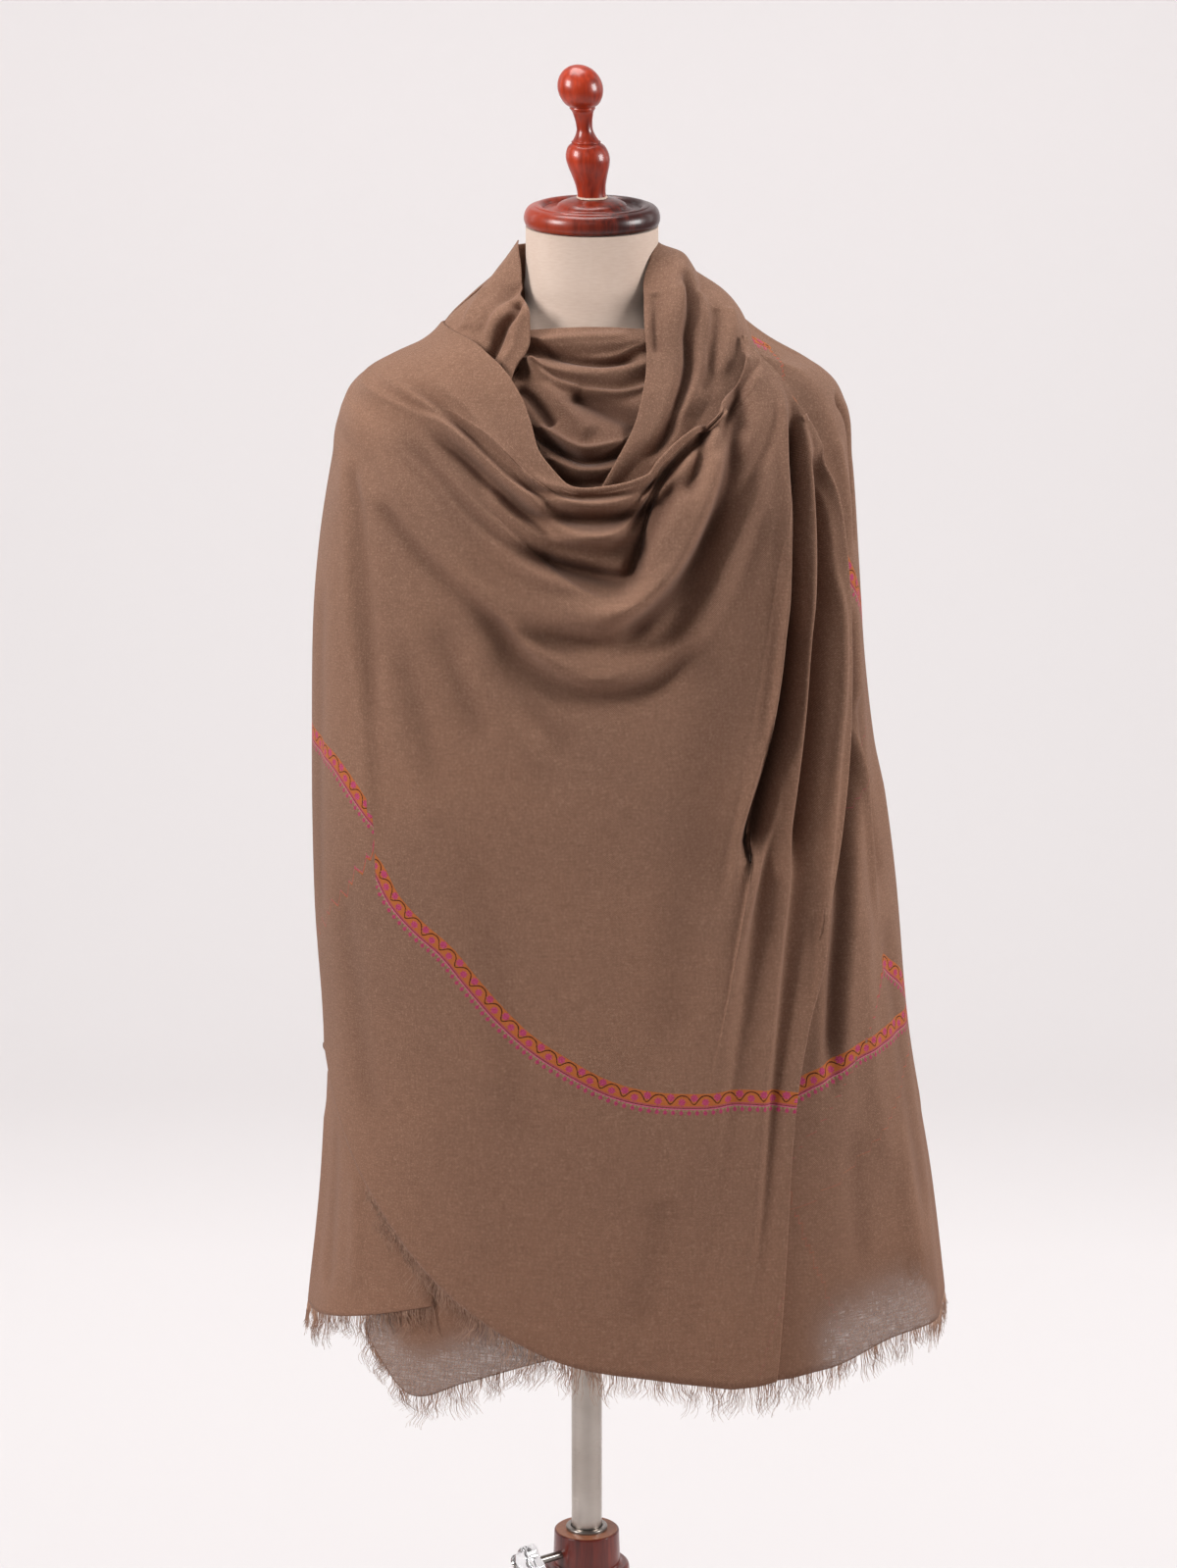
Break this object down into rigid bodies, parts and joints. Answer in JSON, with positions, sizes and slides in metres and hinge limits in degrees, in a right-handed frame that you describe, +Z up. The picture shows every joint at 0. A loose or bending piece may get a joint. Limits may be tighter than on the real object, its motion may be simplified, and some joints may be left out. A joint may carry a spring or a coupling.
{
  "type": "pashmina shawl on dress form",
  "caption": "Fringed pashmina shawl with an embroidered border, wrapped over both shoulders of a limbless dress form on an adjustable turned wooden stand.",
  "frame": {"origin": "centre of the bounding box at floor level", "axes": "+Z up the pole, -Y to the shawl's front, +X to the side where the folds gather on the shoulder"},
  "size_m": [0.564, 0.42, 1.7379],
  "materials": {
    "pashmina": "soft matt twill with a light nap",
    "pashmina_yarn": "loose matt yarn",
    "linen": "plain matt weave",
    "red_lacquer": "glossy orange-red lacquer",
    "mahogany": "polished red-brown",
    "brushed_steel": "brushed",
    "clear_acrylic": "clear",
    "rubber": "matt"
  },
  "bodies": {
    "base": {"hub": "mahogany", "sleeve": "brushed_steel", "leg_1": "mahogany", "leg_2": "mahogany", "leg_3": "mahogany", "foot_1": "rubber", "foot_2": "rubber", "foot_3": "rubber"},
    "pole": {"pole": "brushed_steel"},
    "form": {"shawl_front_fall": "pashmina", "shawl_right_fall": "pashmina", "shawl_back": "pashmina", "shawl_collar_right": "pashmina", "shawl_collar_left": "pashmina", "shawl_neck_inner": "pashmina", "shawl_under_left": "pashmina", "shawl_under_corner": "pashmina", "fringe_front": "pashmina_yarn", "fringe_right": "pashmina_yarn", "fringe_back": "pashmina_yarn", "fringe_under_left": "pashmina_yarn", "fringe_under_corner": "pashmina_yarn", "form_torso": "linen", "neck_cap": "red_lacquer", "finial": "red_lacquer", "pole_socket": "brushed_steel"},
    "knob": {"clamp_screw": "brushed_steel", "clamp_knob": "clear_acrylic"}
  },
  "joints": [
    {"name": "height_slide", "type": "slide", "parent": "base", "child": "pole", "axis": [0, 0, 1], "range_m": [-0.1, 0.2]},
    {"name": "form_swivel", "type": "hinge", "parent": "pole", "child": "form", "pos_m": [-0.0345, 0.0459, 0.839], "axis": [0, 0, 1], "continuous": true},
    {"name": "knob_turn", "type": "hinge", "parent": "base", "child": "knob", "pos_m": [-0.08242, 0.00979, 0.442], "axis": [-0.7986, -0.6018, 0], "range_deg": [-360, 360]}
  ]
}
